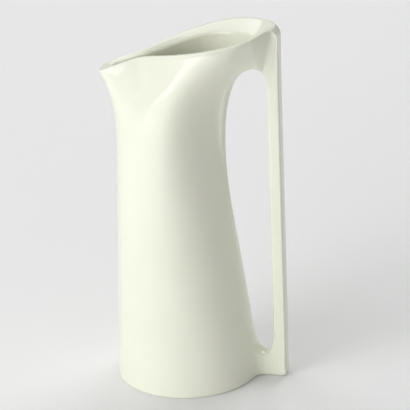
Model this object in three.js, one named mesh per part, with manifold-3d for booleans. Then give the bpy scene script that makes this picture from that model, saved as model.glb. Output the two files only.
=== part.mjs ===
// Tall porcelain jug: a leaning round body whose rim rises from a beak spout to a slim upright handle.
// Millimetres, +Z up, +X towards the handle, the spout at -X, the same on both sides of the plane y = 0.
// The jug stands on z = 0 and is centred over the origin by its overall length.
import * as THREE from 'three';
import { mergeVertices } from 'three/addons/utils/BufferGeometryUtils.js';
import Module from 'manifold-3d';

// Driving dimensions. X values are measured from the axis of the round base.
const baseRadius = 47.5;
const spoutReach = 51;
const spoutHeight = 211;
const handleReach = 67;
const jugHeight = 244;
const handleDepth = 8.1;
const handleWidth = 11.6;
const wallThickness = 3.6;
const floorThickness = 5;
const floorCorner = 8;
const slipThickness = 0.8;

// Lean of the front, the back and the sides of the body, in mm of width for each mm of height.
const frontTaper = 0.033;
const backTaper = 0.126;
const sideTaper = 0.092;

// The head begins above the straight lower body; the spout and the back flare out of it.
const headStart = 0.45 * jugHeight;
const spoutFlareStart = 0.64 * spoutHeight;
const spoutFlarePower = 3.9;
const archDrop = 26.25;
const archInset = 13.8;
const archBend = 14;
const archTop = jugHeight - archDrop;
const archX = handleReach - archInset;
const archStart = 0.507 * archTop;
const archPower = 2.6;
const tailPower = 0.4;

// The flank of the head runs on behind the edge of the slot, towards the handle, as one even surface.
const tailSpread = 62;
const tailSpreadPower = 2.8;
const slotEdgeRound = 6;

// Plan of the rim: a leaf with its widest place towards the handle and a narrow beak in front.
const mouthHalfWidth = 0.69 * baseRadius;
const mouthWidestX = 0.4 * handleReach;
const beakHalfWidth = 6;
const beakLength = 25;
const rimTailInset = 3.5;
const rimTailX = handleReach - rimTailInset;
const rimTailRound = 3;
const rimTailDrop = 0.35;
const rimTailHeight = jugHeight - rimTailDrop;
const rimArch = 5.1;
const rimGrowth = 3.5;
const hollowGrowth = 2.1;

// Reach of the rounding of the crest at the tip and sides of the beak, along the flanks and at the tail.
const crestRoundTip = 0.3;
const crestRoundBeak = 1.6;
const crestRoundSide = 4;
const crestRoundTail = 2.5;

// The band inside the rim slopes in to the opening: its width in front and how far it drops along the jug.
const bandFront = 8;
const bandDropFront = 1.5;
const bandDropMiddle = 4.2;
const bandDropBack = 7;
const openingHalfWidth = 18.7;
const openingWidestX = 0.323 * handleReach;
const openingBeakHalf = 4.5;
const openingBeakLength = 10;
const openingBackInset = 3.5;

// Finger slot, joint planes and rounded edges.
const slotFloor = 15.5;
const slotSpread = 16;
const innerEdgeRound = 2.4;
const outerEdgeRound = 1.5;
const footEdgeRound = 2.6;
const cornerRound = 5;
const toeRound = 2.5;
const webFillet = 8;
const webOverrun = 1;
const baseEdgeRound = 1.5;
const footRingWidth = 6;
const footRecess = 2;

// Values that follow from them.
const handleHalf = handleWidth / 2;
const handleInnerX = handleReach - handleDepth;
const upperJointX = archX + slipThickness;
const lowerJointX = (baseRadius + handleInnerX) / 2 - slipThickness;
const openingBackX = upperJointX - openingBackInset;
const centreX = (handleReach - spoutReach) / 2;
const spoutFlare = spoutReach - (baseRadius - frontTaper * spoutHeight);
const archFlare = archX - (baseRadius - backTaper * archTop);

// How finely the surfaces are divided.
const columns = 30;
const webRows = 6;
const lowerRows = 7;
const headRows = 22;
const crestRows = 4;
const cavityRows = 14;
const archPoints = 60;

const mix = (a, b, f) => a + (b - a) * f;
const clamp01 = (f) => Math.min(Math.max(f, 0), 1);
const ease = (f) => clamp01(f) ** 2 * (3 - 2 * clamp01(f));

// Front and back profile of the body in the plane y = 0, and its half width, at height z.
function frontAt(z) {
  const rise = Math.max((z - spoutFlareStart) / (spoutHeight - spoutFlareStart), 0);
  return -(baseRadius - frontTaper * z) - spoutFlare * rise ** spoutFlarePower;
}

function backAt(z) {
  const rise = clamp01((z - archStart) / (archTop - archStart));
  return baseRadius - backTaper * z + archFlare * (1 - Math.sqrt(1 - rise ** archPower));
}

const sideAt = (z) => baseRadius - sideTaper * z;

// Height of the rim's crest at the fraction f of its length from the beak to the tail.
const crestHeight = (f) => mix(spoutHeight, rimTailHeight, f) + 4 * rimArch * f * (1 - f);

// Half width of an oval from x0 to x1 that is widest at xw; a power of 0.5 makes an ellipse.
function ovalHalf(x, x0, xw, x1, half, frontPower, backPower) {
  const f = x < xw ? (xw - x) / (xw - x0) : (x - xw) / (x1 - xw);
  return half * Math.max(1 - Math.min(f, 1) ** 2, 0) ** (x < xw ? frontPower : backPower);
}

// Half width of a round-ended finger at the depth d behind its end.
function fingerHalf(d, round, half) {
  const f = clamp01(d / round);
  return half * Math.sqrt(Math.max(1 - (1 - f) ** 2, 0));
}

// A section runs from its front to its back, f of the way along. A stretch of its back end leaves
// the rest where it is.
const ellipseAt = (f) => 2 * Math.sqrt(Math.max(f * (1 - f), 0));
const stretched = (front, back, stretch, f) => mix(front, back, f) + stretch * f ** 6;

// The fraction at which the places given by xAt pass the place x.
function fractionAt(xAt, x) {
  let low = 0;
  let high = 1;
  for (let i = 0; i < 40; i++) {
    const middle = (low + high) / 2;
    if (xAt(middle) < x) low = middle;
    else high = middle;
  }
  return (low + high) / 2;
}

// How far the web that runs to the handle's foot stands out of the body at height z.
function webReach(z) {
  const rise = clamp01((slotFloor + slotSpread - z) / slotSpread);
  return (lowerJointX + webOverrun - backAt(Math.min(z, slotFloor))) * (1 - Math.sqrt(1 - rise ** 2));
}

// Point [x, half width, z] of the straight lower body, drawn in by inset. Only the outside has the web,
// which leaves the round wall in a fillet and is rounded off along the slot and along the floor.
function lowerPoint(f, z, inset) {
  const front = frontAt(z) + inset;
  const back = backAt(z) - inset;
  const reach = inset > baseEdgeRound ? 0 : webReach(z);
  const x = stretched(front, back, reach, f);
  const wall = (sideAt(z) - inset) * ellipseAt(clamp01((x - front) / (back - front)));
  if (reach === 0) return [x, wall, z];
  const footLoss = 1 - Math.sqrt(1 - clamp01(1 - z / footEdgeRound) ** 2);
  const webHalf = handleHalf - footEdgeRound * footLoss;
  const middle = (front + back) / 2;
  const radius = (back - front) / 2;
  const arcY = webHalf + webFillet;
  const arcX = middle + Math.sqrt((radius + webFillet) ** 2 - arcY ** 2);
  const touchX = middle + ((arcX - middle) * radius) / (radius + webFillet);
  if (x < touchX) return [x, wall, z];
  const fillet = arcY - Math.sqrt(webFillet ** 2 - (arcX - Math.min(x, arcX)) ** 2);
  const end = z > slotFloor ? back + reach - x : innerEdgeRound;
  return [x, Math.max(wall, fingerHalf(end, innerEdgeRound, fillet)), z];
}

// Half width of the crest of the rim, and of the edge of the opening, at the fraction f of their length.
function crestHalf(f) {
  const x = mix(-spoutReach, rimTailX, f);
  const leaf = ovalHalf(x, beakLength - spoutReach, mouthWidestX, rimTailX, mouthHalfWidth, 1.09, 0.78);
  const beak = fingerHalf(x + spoutReach, beakHalfWidth, beakHalfWidth);
  return Math.hypot(leaf, beak, fingerHalf(rimTailX - x, rimTailRound, handleHalf - rimTailDrop));
}

function openingHalf(f) {
  const front = bandFront - spoutReach;
  const x = mix(front, openingBackX, f);
  const tip = front + openingBeakLength;
  const oval = ovalHalf(x, tip, openingWidestX, openingBackX, openingHalfWidth, 2.1, 0.75);
  return Math.hypot(oval, fingerHalf(x - front, openingBeakHalf, openingBeakHalf));
}

// Height of the edge of the opening at the fraction f of its length.
function openingHeight(f) {
  const x = mix(bandFront - spoutReach, openingBackX, f);
  const front = mix(bandDropFront, bandDropMiddle, ease(2 * f));
  const drop = f < 0.5 ? front : mix(bandDropMiddle, bandDropBack, ease(2 * f - 1));
  return crestHeight((x + spoutReach) / (rimTailX + spoutReach)) - drop;
}

// Outline of the arch over the finger slot in the middle plane, and how far a place is from it.
const archOutline = [];
for (let i = 0; i <= archPoints; i++) {
  const z = mix(headStart, archTop, 1 - (1 - i / archPoints) ** 2);
  archOutline.push([backAt(z), z]);
}
archOutline.push([handleReach, archTop]);

function slotDistance(x, z) {
  let best = jugHeight;
  for (let i = 1; i < archOutline.length; i++) {
    const [ax, az] = archOutline[i - 1];
    const [bx, bz] = archOutline[i];
    const t = ((x - ax) * (bx - ax) + (z - az) * (bz - az)) / ((bx - ax) ** 2 + (bz - az) ** 2);
    best = Math.min(best, Math.hypot(x - mix(ax, bx, clamp01(t)), z - mix(az, bz, clamp01(t))));
  }
  return best;
}

// Half width of the head at the place x and height z: an oval that widens into the plan of the rim
// and rounds off at the edge of the slot.
function flankHalf(x, z) {
  const crest = crestHeight(clamp01((x + spoutReach) / (rimTailX + spoutReach)));
  const k = clamp01((z - headStart) / (crest - headStart));
  const rise = clamp01((z - archStart) / (jugHeight - archStart));
  const front = frontAt(mix(headStart, spoutHeight, k));
  const back = baseRadius - backTaper * z + tailSpread * rise ** tailSpreadPower;
  const oval = sideAt(z) * ellipseAt(clamp01((x - front) / (back - front)));
  const rim = crestHalf(clamp01((x - front) / (rimTailX - front)));
  const round = slotEdgeRound * ease((z - headStart) / (archStart + archDrop - headStart));
  const edge = round > 0 ? clamp01(slotDistance(x, z) / round) : 1;
  return mix(oval, rim, k ** rimGrowth) * Math.sqrt(1 - (1 - edge) ** 2);
}

// Point of the head's outside at the fraction k of the way from its start to the crest of the rim.
// The back follows the arch over the finger slot.
const crestAtTail = crestHeight(1);
const archFraction = (archTop - headStart) / (crestAtTail - headStart);

function headPoint(f, k) {
  const beyond = clamp01((k - archFraction) / (1 - archFraction));
  const zBack = mix(headStart, crestAtTail, k);
  const back = k <= archFraction ? backAt(zBack) : mix(archX, rimTailX, beyond ** tailPower);
  const plainBack = mix(baseRadius - backTaper * zBack, rimTailX, k ** rimGrowth);
  const x = stretched(frontAt(mix(headStart, spoutHeight, k)), plainBack, back - plainBack, f);
  const z = mix(headStart, crestHeight(f), k);
  return [x, flankHalf(x, z), z];
}

// Point of the hollow inside the head, which narrows to the opening.
function hollowPoint(f, k) {
  const grow = k ** hollowGrowth;
  const zBack = mix(headStart, openingHeight(1), k);
  const back = Math.min(backAt(Math.min(zBack - wallThickness, archTop)) - wallThickness, openingBackX);
  const plainBack = mix(baseRadius - backTaper * zBack - wallThickness, openingBackX, grow);
  const front = frontAt(mix(headStart, spoutHeight, k)) + mix(wallThickness, bandFront, grow);
  const z = mix(headStart, openingHeight(f), k);
  const half = mix((sideAt(z) - wallThickness) * ellipseAt(f), openingHalf(f), grow);
  return [stretched(front, plainBack, back - plainBack, f), half, z];
}

// Point on the band inside the rim: b is 0 on the crest, 1 on the edge of the opening.
function bandPoint(f, b) {
  const inner = hollowPoint(f, 1);
  return headPoint(f, 1).map((v, axis) => mix(v, inner[axis], b));
}

// The crest is rounded between the places crestStart on the flank and crestStop on the band.
const distance = (a, b) => Math.hypot(...a.map((v, axis) => v - b[axis]));

function crestRound(f) {
  const beak = mix(crestRoundTip, crestRoundBeak, ease(f / 0.1));
  const side = mix(beak, crestRoundSide, ease((f - 0.3) / 0.3));
  return mix(side, crestRoundTail, ease((f - 0.8) / 0.15));
}

const crestStart = (f) => 1 - (0.01 * crestRound(f)) / distance(headPoint(f, 1), headPoint(f, 0.99));
const crestStop = (f) => Math.min(crestRound(f) / distance(headPoint(f, 1), hollowPoint(f, 1)), 0.6);

function crestPoint(f, t) {
  const from = headPoint(f, crestStart(f));
  const to = bandPoint(f, crestStop(f));
  return headPoint(f, 1).map((v, i) => (1 - t) ** 2 * from[i] + 2 * t * (1 - t) * v + t * t * to[i]);
}

// A closed ring through the points that pointAt gives along one side, mirrored on the other.
function ringOf(pointAt) {
  const ring = [];
  for (let i = 0; i < 2 * columns; i++) {
    const step = i <= columns ? i : 2 * columns - i;
    const [x, half, z] = pointAt((1 - Math.cos((Math.PI * step) / columns)) / 2);
    const y = step % columns === 0 ? 0 : half;
    ring.push([x, i <= columns ? -y : y, z]);
  }
  return ring;
}

// A closed mesh through a stack of rings of equal length, with a fan of triangles over each end.
function loft(rings) {
  const count = rings[0].length;
  const points = rings.flat();
  const middle = (ring) => ring.reduce((sum, p) => sum.map((v, i) => v + p[i] / count), [0, 0, 0]);
  const first = points.push(middle(rings[0])) - 1;
  const last = points.push(middle(rings[rings.length - 1])) - 1;
  const index = [];
  const top = (rings.length - 1) * count;
  for (let i = 0; i < count; i++) {
    const next = (i + 1) % count;
    index.push(first, next, i, last, top + i, top + next);
    for (let r = 0; r < rings.length - 1; r++) {
      const a = r * count + i;
      const b = r * count + next;
      index.push(a, b, b + count, a, b + count, a + count);
    }
  }
  const geometry = new THREE.BufferGeometry();
  geometry.setAttribute('position', new THREE.Float32BufferAttribute(points.flat(), 3));
  geometry.setIndex(index);
  return geometry;
}

const { Manifold, Mesh: ManifoldMesh } = await (async () => {
  const wasm = await Module();
  wasm.setup();
  return wasm;
})();

// Turn a geometry into a solid for cutting, and a solid back into a geometry.
function solidOf(geometry) {
  const plain = new THREE.BufferGeometry();
  plain.setAttribute('position', geometry.attributes.position);
  plain.setIndex(geometry.index);
  const merged = mergeVertices(plain, 1e-4);
  return new Manifold(new ManifoldMesh({
    numProp: 3,
    vertProperties: new Float32Array(merged.attributes.position.array),
    triVerts: new Uint32Array(merged.index.array),
  }));
}

function geometryOf(solid) {
  const mesh = solid.getMesh();
  const geometry = new THREE.BufferGeometry();
  geometry.setAttribute('position', new THREE.BufferAttribute(new Float32Array(mesh.vertProperties), 3));
  geometry.setIndex(new THREE.BufferAttribute(new Uint32Array(mesh.triVerts), 1));
  geometry.translate(-centreX, 0, 0);
  geometry.computeVertexNormals();
  return geometry;
}

function boxSolid(x0, x1, halfY, z0, z1) {
  const box = new THREE.BoxGeometry(x1 - x0, 2 * halfY, z1 - z0);
  box.translate((x0 + x1) / 2, 0, (z0 + z1) / 2);
  return solidOf(box);
}

// Body: outer form up the flank and over the crest of the rim, then down the band towards the middle.
function outerForm() {
  const rings = [];
  for (let i = 0; i <= 3; i++) {
    const turn = (i / 3) * (Math.PI / 2);
    const z = baseEdgeRound * (1 - Math.cos(turn));
    rings.push(ringOf((f) => lowerPoint(f, z, baseEdgeRound * (1 - Math.sin(turn)))));
  }
  const slotTop = slotFloor + slotSpread;
  const heights = [footEdgeRound, 0.5 * slotFloor, 0.99 * slotFloor];
  for (let i = 0; i <= webRows; i++) {
    const turn = (i / webRows) * (Math.PI / 2);
    heights.push(1.001 * slotFloor + slotSpread * (1 - Math.cos(turn)));
  }
  for (let i = 1; i < lowerRows; i++) {
    heights.push(mix(slotTop, headStart, i / lowerRows));
  }
  for (const z of heights) rings.push(ringOf((f) => lowerPoint(f, z, 0)));
  for (let i = 0; i <= headRows; i++) {
    rings.push(ringOf((f) => headPoint(f, headFraction(i / headRows, crestStart(f)))));
  }
  for (let i = 1; i <= crestRows; i++) rings.push(ringOf((f) => crestPoint(f, i / crestRows)));
  for (const b of [0.8, 1.15]) rings.push(ringOf((f) => bandPoint(f, b)));
  return solidOf(loft(rings));
}

// Rows of the head up to the fraction top, closer together where the arch turns over.
function headFraction(f, top) {
  const turn = 0.72;
  const lower = archFraction * (1 - (1 - Math.min(f / turn, 1)) ** 2);
  return f < turn ? lower : mix(archFraction, top, ((f - turn) / (1 - turn)) ** 1.6);
}

// The hollow: the outer form drawn in by the wall, narrowing at the top to the opening.
function hollow() {
  const rings = [];
  const cornerTop = slotFloor + slotSpread;
  for (let i = 0; i <= 3; i++) {
    const turn = (i / 3) * (Math.PI / 2);
    const z = floorThickness + floorCorner * (1 - Math.cos(turn));
    const inset = wallThickness + floorCorner * (1 - Math.sin(turn));
    rings.push(ringOf((f) => [...lowerPoint(f, cornerTop, inset).slice(0, 2), z]));
  }
  for (let i = 1; i < lowerRows; i++) {
    const z = mix(cornerTop, headStart, i / lowerRows);
    rings.push(ringOf((f) => lowerPoint(f, z, wallThickness)));
  }
  for (let i = 0; i < cavityRows; i++) rings.push(ringOf((f) => hollowPoint(f, i / cavityRows)));
  const opening = ringOf((f) => hollowPoint(f, 1));
  for (const rise of [-bandDropFront, bandDropBack * 2]) {
    rings.push(opening.map(([x, y, z]) => [x, y, z + rise]));
  }
  return solidOf(loft(rings));
}

const far = 3 * jugHeight;
const recess = new THREE.CylinderGeometry(
  baseRadius - footRingWidth - 1, baseRadius - footRingWidth, footRecess, 2 * columns,
);
recess.rotateX(Math.PI / 2);
recess.translate(0, 0, footRecess / 2);
const bodySolid = outerForm()
  .subtract(hollow())
  .subtract(solidOf(recess))
  .subtract(boxSolid(upperJointX, upperJointX + far, far, jugHeight / 2, far))
  .subtract(boxSolid(lowerJointX, lowerJointX + far, far, -far, jugHeight / 4));

// Half outline of the body on the upper joint plane, as [height, half width]: up the flank from the
// arch, over the crest, then down the slope of the band to the middle.
const archSteps = 6;
const flankSteps = 8;
const crestSteps = 4;
const topSteps = 3;
const archShare = 0.2;

function jointOutline() {
  const onJoint = (pointAt) => {
    const f = fractionAt((g) => pointAt(g)[0], upperJointX);
    return [pointAt(f)[2], pointAt(f)[1], f];
  };
  const kArch = mix(archFraction, 1, ((upperJointX - archX) / (rimTailX - archX)) ** (1 / tailPower));
  const outline = [[onJoint((f) => headPoint(f, kArch))[0], 0]];
  for (let i = 1; i <= archSteps + flankSteps; i++) {
    const turnOver = archShare * (1 - Math.cos(((i / archSteps) * Math.PI) / 2));
    const flank = mix(archShare, 1, (i - archSteps) / flankSteps);
    const share = i < archSteps ? turnOver : flank;
    outline.push(onJoint((f) => headPoint(f, mix(kArch, crestStart(f), share))));
  }
  for (let i = 1; i <= crestSteps; i++) outline.push(onJoint((f) => crestPoint(f, i / crestSteps)));
  const bandF = outline[outline.length - 1][2];
  for (let i = 1; i <= topSteps; i++) {
    const f = mix(bandF, 1, i / topSteps);
    const outerX = headPoint(f, 1)[0];
    const [, half, z] = bandPoint(f, (outerX - upperJointX) / (outerX - hollowPoint(f, 1)[0]));
    outline.push([z, i === topSteps ? 0 : half]);
  }
  return outline.map(([z, half]) => [z, half]);
}

const joint = jointOutline();
const jointBottom = joint[0][0];
const jointTop = Math.max(...joint.map(([z]) => z));
const jointHalf = Math.max(...joint.map(([, half]) => half));

// Half outline of the bar across the strap: u runs from the inner to the outer face, y is the half width.
function barOutline(length, half, edgeRound) {
  const outline = [];
  for (let i = 0; i <= archSteps; i++) {
    const turn = (Math.max(i - 1, 0) / (archSteps - 1)) * (Math.PI / 2);
    const y = i === 0 ? 0 : half - innerEdgeRound * (1 - Math.sin(turn));
    outline.push([i === 0 ? 0 : innerEdgeRound * (1 - Math.cos(turn)), y]);
  }
  for (let i = 1; i <= flankSteps; i++) {
    outline.push([mix(innerEdgeRound, length - edgeRound, i / flankSteps), half]);
  }
  for (let i = 1; i <= crestSteps; i++) {
    const turn = (i / crestSteps) * (Math.PI / 2);
    outline.push([length - edgeRound * (1 - Math.sin(turn)), half - edgeRound * (1 - Math.cos(turn))]);
  }
  for (let i = 1; i <= topSteps; i++) {
    outline.push([length, (half - edgeRound) * (1 - i / topSteps)]);
  }
  return outline;
}

// A station's half outline lies between that of the joint (shape 1) and that of the bar (shape 0).
// The dish of the joint's top, where the band slopes in, fades sooner than the rest of its shape.
function strapHalf({ length, shape, dish, outerHalf, edgeRound }) {
  const bar = barOutline(length, handleHalf, edgeRound);
  const scale = length / (jointTop - jointBottom);
  const ratio = outerHalf / jointHalf;
  const top = archSteps + flankSteps + crestSteps;
  return bar.map(([u, y], i) => {
    const [z, half] = joint[i];
    const height = i > top ? mix(jointTop, z, dish) : z;
    const narrow = i > top ? ratio : mix(1, ratio, half / jointHalf);
    return [mix(u, (height - jointBottom) * scale, shape), mix(y, half * narrow, shape)];
  });
}

// The ring of a station: its half outline on one side, mirrored on the other.
function strapRing(station) {
  const [x0, z0] = station.inner;
  const [x1, z1] = station.outer;
  const length = Math.hypot(x1 - x0, z1 - z0);
  const half = strapHalf({ ...station, length });
  const place = ([u, y]) => [mix(x0, x1, u / length), y, mix(z0, z1, u / length)];
  const right = half.map(place);
  const left = half.slice(1, -1).reverse().map(([u, y]) => place([u, -y]));
  return [...right, ...left];
}

// A point at the fraction f of the length of a chain of points.
function along(chain, f) {
  const lengths = chain.slice(1).map((p, i) => Math.hypot(p[0] - chain[i][0], p[1] - chain[i][1]));
  let left = f * lengths.reduce((sum, v) => sum + v, 0);
  for (let i = 0; i < lengths.length; i++) {
    if (left <= lengths[i] || i === lengths.length - 1) {
      return [0, 1].map((axis) => mix(chain[i][axis], chain[i + 1][axis], left / lengths[i]));
    }
    left -= lengths[i];
  }
  return chain[chain.length - 1];
}

// Quarter of an ellipse from the point a to the point b, leaving a along the x axis.
function quarter(a, b, steps) {
  const points = [];
  for (let i = 0; i <= steps; i++) {
    const turn = (i / steps) * (Math.PI / 2);
    points.push([mix(a[0], b[0], Math.sin(turn)), mix(a[1], b[1], 1 - Math.cos(turn))]);
  }
  return points;
}

function handleStations() {
  const start = upperJointX + slipThickness;
  const upperEnd = archTop - archBend;
  const lowerEnd = slotFloor + slotSpread;
  const innerTop = quarter([start, jointBottom], [handleInnerX, upperEnd], 12);
  const topOfBar = [handleReach - cornerRound, jugHeight];
  const outerTop = [
    [start, jointTop],
    ...quarter(topOfBar, [handleReach, jugHeight - cornerRound], 8),
    [handleReach, upperEnd],
  ];
  const stations = [];
  for (let i = 0; i <= 16; i++) {
    const f = (i / 16) ** 1.3;
    const outer = along(outerTop, f);
    const leaf = crestHalf(clamp01((outer[0] + spoutReach) / (rimTailX + spoutReach)));
    stations.push({
      inner: along(innerTop, f), outer, outerHalf: Math.max(leaf, handleHalf), edgeRound: outerEdgeRound,
      shape: 1 - ease(f / 0.75), dish: clamp01((rimTailX - outer[0]) / (rimTailX - start)),
    });
  }
  const bar = { outerHalf: handleHalf, shape: 0, dish: 0, edgeRound: outerEdgeRound };
  for (let i = 1; i < 8; i++) {
    const z = mix(upperEnd, lowerEnd, i / 8);
    stations.push({ ...bar, inner: [handleInnerX, z], outer: [handleReach, z] });
  }
  const end = lowerJointX + slipThickness;
  const innerFoot = quarter([end, slotFloor], [handleInnerX, lowerEnd], 12).reverse();
  const outerFoot = [
    [handleReach, lowerEnd],
    ...quarter([handleReach - toeRound, 0], [handleReach, toeRound], 4).reverse(),
    [end, 0],
  ];
  for (let i = 0; i <= 12; i++) {
    const f = i / 12;
    const edgeRound = mix(outerEdgeRound, footEdgeRound, ease(1.6 * f));
    stations.push({ ...bar, inner: along(innerFoot, f), outer: along(outerFoot, f), edgeRound });
  }
  return stations;
}

const stations = handleStations();
const handleSolid = solidOf(loft(stations.map(strapRing)));

// Slip: thin flat wafers of dried casting slip that hold the handle on the two joint planes.
// The two x values follow the sweep of the handle, so that the faces point outwards.
function slipWafer(station, xStart, xEnd) {
  const ring = strapRing(station);
  const faces = [xStart, xEnd].map((face) => ring.map(([, y, z]) => [face, y, z]));
  return solidOf(loft(faces));
}

const upperSlipSolid = slipWafer(stations[0], upperJointX, upperJointX + slipThickness);
const lowerSlipSolid = slipWafer(stations[stations.length - 1], lowerJointX + slipThickness, lowerJointX);

const glaze = new THREE.MeshStandardMaterial({ color: 0xeef0de, roughness: 0.12, metalness: 0 });
const slip = new THREE.MeshStandardMaterial({ color: 0xe6e7d6, roughness: 0.35, metalness: 0 });

const jug = new THREE.Group();
jug.name = 'porcelain_jug';

function addPiece(name, solid, material) {
  const mesh = new THREE.Mesh(geometryOf(solid), material);
  mesh.name = name;
  jug.add(mesh);
}

addPiece('body', bodySolid, glaze);
addPiece('handle', handleSolid, glaze.clone());
addPiece('upper_slip_joint', upperSlipSolid, slip);
addPiece('lower_slip_joint', lowerSlipSolid, slip.clone());

export default jug;
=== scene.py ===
# Tall porcelain jug, glazed but for the ring that it stands on, on a pale studio floor.
import math

import bmesh
import bpy
import numpy as np
from mathutils import Matrix, Vector


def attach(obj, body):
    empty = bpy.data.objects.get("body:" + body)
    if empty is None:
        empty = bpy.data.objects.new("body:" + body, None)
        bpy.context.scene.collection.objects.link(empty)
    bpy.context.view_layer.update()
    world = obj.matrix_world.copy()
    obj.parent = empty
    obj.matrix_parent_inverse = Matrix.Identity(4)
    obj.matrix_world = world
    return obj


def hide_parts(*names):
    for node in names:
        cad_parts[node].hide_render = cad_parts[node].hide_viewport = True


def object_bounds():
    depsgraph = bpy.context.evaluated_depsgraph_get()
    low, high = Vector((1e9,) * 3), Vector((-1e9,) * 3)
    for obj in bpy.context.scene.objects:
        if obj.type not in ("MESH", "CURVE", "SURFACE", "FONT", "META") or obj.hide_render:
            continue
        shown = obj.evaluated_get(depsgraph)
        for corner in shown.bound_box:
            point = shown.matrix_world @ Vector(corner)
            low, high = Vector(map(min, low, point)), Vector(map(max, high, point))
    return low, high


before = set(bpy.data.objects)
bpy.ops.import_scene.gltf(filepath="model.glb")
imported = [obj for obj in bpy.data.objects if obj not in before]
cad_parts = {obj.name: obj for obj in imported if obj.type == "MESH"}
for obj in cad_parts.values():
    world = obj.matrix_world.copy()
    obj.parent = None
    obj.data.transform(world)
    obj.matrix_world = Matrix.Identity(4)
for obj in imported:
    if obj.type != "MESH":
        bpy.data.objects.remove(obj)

CAD_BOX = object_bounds()
MM = 0.001

# Driving dimensions in millimetres. X is measured from the axis of the round base, +X to the handle; AXIS_X
# is the place of that axis in the part's own frame.
AXIS_X = -8.0
SPOUT_REACH = AXIS_X - CAD_BOX[0].x / MM
HANDLE_REACH = CAD_BOX[1].x / MM - AXIS_X
JUG_HEIGHT = CAD_BOX[1].z / MM
SPOUT_HEIGHT = 211.0
BASE_RADIUS = 47.45
HANDLE_DEPTH = 8.1
HANDLE_HALF = 5.8
WALL = 3.6
FLOOR = 5.0
FLOOR_CORNER = 8.0
SLIP = 0.8

# Lean of the front, the back and the sides, in mm of width for each mm of height.
FRONT_TAPER = 0.038
BACK_TAPER = 0.126
SIDE_TAPER = 0.065

# The head begins above the straight lower body; the spout and the back flare out of it.
HEAD_START = 0.45 * JUG_HEIGHT
SPOUT_FLARE_START = 0.64 * SPOUT_HEIGHT
SPOUT_FLARE_POWER = 3.9
ARCH_DROP = 26.7
ARCH_INSET = 13.8
ARCH_TOP = JUG_HEIGHT - ARCH_DROP
ARCH_X = HANDLE_REACH - ARCH_INSET
ARCH_START = 0.443 * ARCH_TOP
ARCH_POWER = 2.98
TAIL_POWER = 0.4
STRETCH_POWER = 6

# Going up, the round section turns into an egg, blunt in front, whose back narrows to a fin about as wide as
# the handle; above the arch the egg runs on towards the handle.
WIDEST_SHIFT = 45.0
WIDEST_POWER = 8.0
FRONT_LEAF = 0.09
BACK_LEAF = 1.34
LEAF_POWER = 3.0
ROUND_POWER = 0.5
TAIL_SPREAD = 73.5
TAIL_SPREAD_POWER = 5.75
FIN_HALF = 5.3
FIN_RISE = 55.0
SLOT_EDGE = 3.0
SLOT_EDGE_RISE = 40.0

# Below the rim the flank swells to a soft shoulder and rolls over to the crest.
SHOULDER = 15.9
SHOULDER_LENGTH = 28.5
SHOULDER_FRONT = 0.32
SHOULDER_TAIL_POWER = 0.36

# Plan of the rim, a leaf with a beak in front and a tail on the handle.
MOUTH_HALF = 0.69 * BASE_RADIUS
MOUTH_WIDEST_X = 0.4 * HANDLE_REACH
MOUTH_FRONT_POWER = 1.09
MOUTH_BACK_POWER = 0.78
BEAK_HALF = 6.0
BEAK_LENGTH = 25.0
RIM_TAIL_INSET = 3.5
RIM_TAIL_X = HANDLE_REACH - RIM_TAIL_INSET
RIM_TAIL_ROUND = 3.0
RIM_TAIL_DROP = 0.35
RIM_TAIL_HEIGHT = JUG_HEIGHT - RIM_TAIL_DROP
RIM_ARCH = 5.1
RIM_GROWTH = 5.15

# Reach of the rounding of the crest at the tip, the beak, the sides and the tail, and where along the rim,
# as fractions of its length, each change from one to the next starts and how long it is.
CREST_ROUNDS = (0.3, 1.6, 6.5, 2.0)
CREST_CHANGES = ((0.0, 0.1), (0.3, 0.3), (0.8, 0.15))
CREST_LIMIT = 0.7

# The band inside the rim, which drops by these amounts in front, in the middle and at the back, and the
# plan of the opening that it slopes in to.
UPPER_JOINT_X = ARCH_X + SLIP
BAND_FRONT = 8.0
BAND_DROPS = (1.5, 4.2, 7.0)
BAND_BULGE = 0.5
HOLLOW_GROWTH = 2.1
OPENING_HALF = 18.7
OPENING_WIDEST_X = 0.323 * HANDLE_REACH
OPENING_FRONT_POWER = 2.1
OPENING_BACK_POWER = 0.75
OPENING_BEAK_HALF = 4.5
OPENING_BEAK_LENGTH = 10.0
OPENING_BACK_INSET = 3.5
OPENING_BACK_X = UPPER_JOINT_X - OPENING_BACK_INSET
OPENING_ROUND = 1.8

# Finger slot, lower joint of the handle and rounded edges. The straight bar runs between its two heights.
HANDLE_INNER_X = HANDLE_REACH - HANDLE_DEPTH
LOWER_JOINT_X = (BASE_RADIUS + HANDLE_INNER_X) / 2 - SLIP
SLOT_FLOOR = 15.5
SLOT_SPREAD = 16.0
INNER_BEND = 14.0
BAR_BOTTOM = SLOT_FLOOR + SLOT_SPREAD
BAR_TOP = ARCH_TOP - INNER_BEND
INNER_EDGE = 2.4
OUTER_EDGE = 1.5
FOOT_EDGE = 2.6
FOOT_EDGE_RATE = 1.6
CORNER_ROUND = 7.0
TOE_ROUND = 2.5
WEB_FILLET = 8.0
WEB_OVERRUN = 1.0

# The roof of the slot comes down behind the crown. Going up this fades out over CROWN_FADE_ABOVE from the
# arch's top, and going down over CROWN_FADE_BELOW, until CROWN_FADE_FOOT below the arch's top.
CROWN_INSET = 3.5
CROWN_X = UPPER_JOINT_X - CROWN_INSET
CROWN_LENGTH = 7.0
CROWN_DROP = 2.6
CROWN_FADE_ABOVE = 16.0
CROWN_FADE_BELOW = 26.0
CROWN_FADE_FOOT = 40.0

# Underside: rounded bottom edge, foot ring, radii of two rows of the recess and the rounded step from the
# recess to the ring, as distance beyond the ring's inner edge and height.
BASE_EDGE = 1.5
FOOT_RING = 6.0
FOOT_RECESS = 2.0
RECESS_RINGS = (15.0, 30.0)
RECESS_STEP = ((-1.6, FOOT_RECESS), (-1.0, FOOT_RECESS - 0.3), (-0.4, 0.5), (0.1, 0.1), (0.6, 0.0))

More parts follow.
